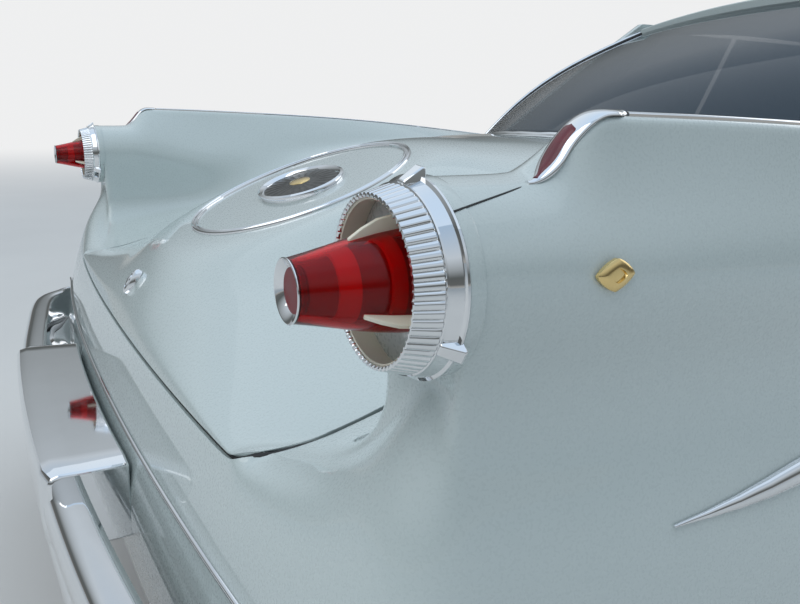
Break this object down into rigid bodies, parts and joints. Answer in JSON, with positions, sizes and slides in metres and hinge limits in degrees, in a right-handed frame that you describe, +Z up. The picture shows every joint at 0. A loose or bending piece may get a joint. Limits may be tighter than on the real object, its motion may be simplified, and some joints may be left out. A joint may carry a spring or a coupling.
{
  "type": "four-door hardtop passenger car of about 1960 with tail fins",
  "caption": "Full-size finned hardtop car with bullet tail lamps in chrome rings, opening doors, hood and boot lid, steered front wheels and turning wheels.",
  "frame": {"origin": "on the ground, under the middle of the car's length and width", "axes": "+Z up, the nose points to -Y, the car's left side is +X"},
  "size_m": [2.046, 5.748, 1.4428],
  "materials": {
    "body_paint": "gloss, pearl off-white",
    "chassis_black": "satin black",
    "bay_black": "satin black",
    "engine_grey": "painted casting",
    "exhaust_steel": "dull",
    "tank_steel": "satin",
    "window_glass": "clear, slightly blue",
    "bright_chrome": "polished",
    "lamp_glass": "fluted",
    "red_lens": "glossy, see-through red",
    "dash_plastic": "satin",
    "seat_cloth": "woven cloth and vinyl",
    "tyre_rubber": "matt with a white band"
  },
  "bodies": {
    "car": {"frame_rails": "chassis_black", "floor_and_sills": "body_paint", "firewall": "bay_black", "rear_bulkhead": "body_paint", "boot_floor": "body_paint", "inner_fenders": "bay_black", "engine_block": "engine_grey", "exhaust_pipes": "exhaust_steel", "fuel_tank": "tank_steel", "front_suspension": "chassis_black", "rear_axle": "chassis_black", "rear_springs": "chassis_black", "tail_panel": "body_paint", "deck_panel": "body_paint", "cowl_panel": "body_paint", "roof_panel": "body_paint", "windscreen": "window_glass", "rear_window": "window_glass", "nose_panel": "body_paint", "grille": "bright_chrome", "headlamps": "lamp_glass", "front_bumper": "bright_chrome", "rear_bumper": "bright_chrome", "tail_lamp_rings": "bright_chrome", "tail_lamp_lenses": "red_lens", "dashboard": "dash_plastic", "steering_column": "dash_plastic", "front_seat": "seat_cloth", "rear_seat": "seat_cloth", "front_fender_left": "body_paint", "front_fender_right": "body_paint", "quarter_panel_left": "body_paint", "quarter_panel_right": "body_paint"},
    "hood": {"hood_panel": "body_paint"},
    "boot_lid": {"deck_lid": "body_paint", "deck_ring": "bright_chrome"},
    "steering_wheel_body": {"steering_wheel": "dash_plastic"},
    "front_door_left_body": {"front_door_left": "body_paint", "front_door_glass_left": "window_glass"},
    "rear_door_left_body": {"rear_door_left": "body_paint", "rear_door_glass_left": "window_glass"},
    "knuckle_left_body": {"knuckle_left": "chassis_black"},
    "wheel_front_left_body": {"tyre_front_left": "tyre_rubber", "wheel_front_left": "bright_chrome"},
    "wheel_rear_left_body": {"tyre_rear_left": "tyre_rubber", "wheel_rear_left": "bright_chrome"},
    "front_door_right_body": {"front_door_right": "body_paint", "front_door_glass_right": "window_glass"},
    "rear_door_right_body": {"rear_door_right": "body_paint", "rear_door_glass_right": "window_glass"},
    "knuckle_right_body": {"knuckle_right": "chassis_black"},
    "wheel_front_right_body": {"tyre_front_right": "tyre_rubber", "wheel_front_right": "bright_chrome"},
    "wheel_rear_right_body": {"tyre_rear_right": "tyre_rubber", "wheel_rear_right": "bright_chrome"}
  },
  "joints": [
    {"name": "hood_hinge", "type": "hinge", "parent": "car", "child": "hood", "pos_m": [0, -0.931, 0.972], "axis": [-1, 0, 0], "range_deg": [0, 50]},
    {"name": "boot_lid_hinge", "type": "hinge", "parent": "car", "child": "boot_lid", "pos_m": [0, 1.83, 0.996], "axis": [1, 0, 0], "range_deg": [0, 60]},
    {"name": "front_door_left_hinge", "type": "hinge", "parent": "car", "child": "front_door_left_body", "pos_m": [1.0225, -0.762, 0.6], "axis": [0, 0, -1], "range_deg": [0, 65]},
    {"name": "rear_door_left_hinge", "type": "hinge", "parent": "car", "child": "rear_door_left_body", "pos_m": [1.0225, 0.302, 0.6], "axis": [0, 0, -1], "range_deg": [0, 65]},
    {"name": "steer_left", "type": "hinge", "parent": "car", "child": "knuckle_left_body", "pos_m": [0.64, -1.949, 0.36], "axis": [0, 0, 1], "range_deg": [-33, 33]},
    {"name": "wheel_spin_front_left", "type": "hinge", "parent": "knuckle_left_body", "child": "wheel_front_left_body", "pos_m": [0.785, -1.949, 0.36], "axis": [1, 0, 0], "continuous": true},
    {"name": "wheel_spin_rear_left", "type": "hinge", "parent": "car", "child": "wheel_rear_left_body", "pos_m": [0.785, 1.328, 0.36], "axis": [1, 0, 0], "continuous": true},
    {"name": "front_door_right_hinge", "type": "hinge", "parent": "car", "child": "front_door_right_body", "pos_m": [-1.0225, -0.762, 0.6], "axis": [0, 0, 1], "range_deg": [0, 65]},
    {"name": "rear_door_right_hinge", "type": "hinge", "parent": "car", "child": "rear_door_right_body", "pos_m": [-1.0225, 0.302, 0.6], "axis": [0, 0, 1], "range_deg": [0, 65]},
    {"name": "steer_right", "type": "hinge", "parent": "car", "child": "knuckle_right_body", "pos_m": [-0.64, -1.949, 0.36], "axis": [0, 0, 1], "range_deg": [-33, 33]},
    {"name": "wheel_spin_front_right", "type": "hinge", "parent": "knuckle_right_body", "child": "wheel_front_right_body", "pos_m": [-0.785, -1.949, 0.36], "axis": [1, 0, 0], "continuous": true},
    {"name": "wheel_spin_rear_right", "type": "hinge", "parent": "car", "child": "wheel_rear_right_body", "pos_m": [-0.785, 1.328, 0.36], "axis": [1, 0, 0], "continuous": true},
    {"name": "steering_wheel_turn", "type": "hinge", "parent": "car", "child": "steering_wheel_body", "pos_m": [0.38, -0.47, 0.8], "axis": [0, 0.8829, 0.4695], "range_deg": [-500, 500]}
  ],
  "couplings": [
    {"joint": "steer_right", "follows": "steer_left", "ratio": 1},
    {"joint": "steering_wheel_turn", "follows": "steer_left", "ratio": 15}
  ]
}
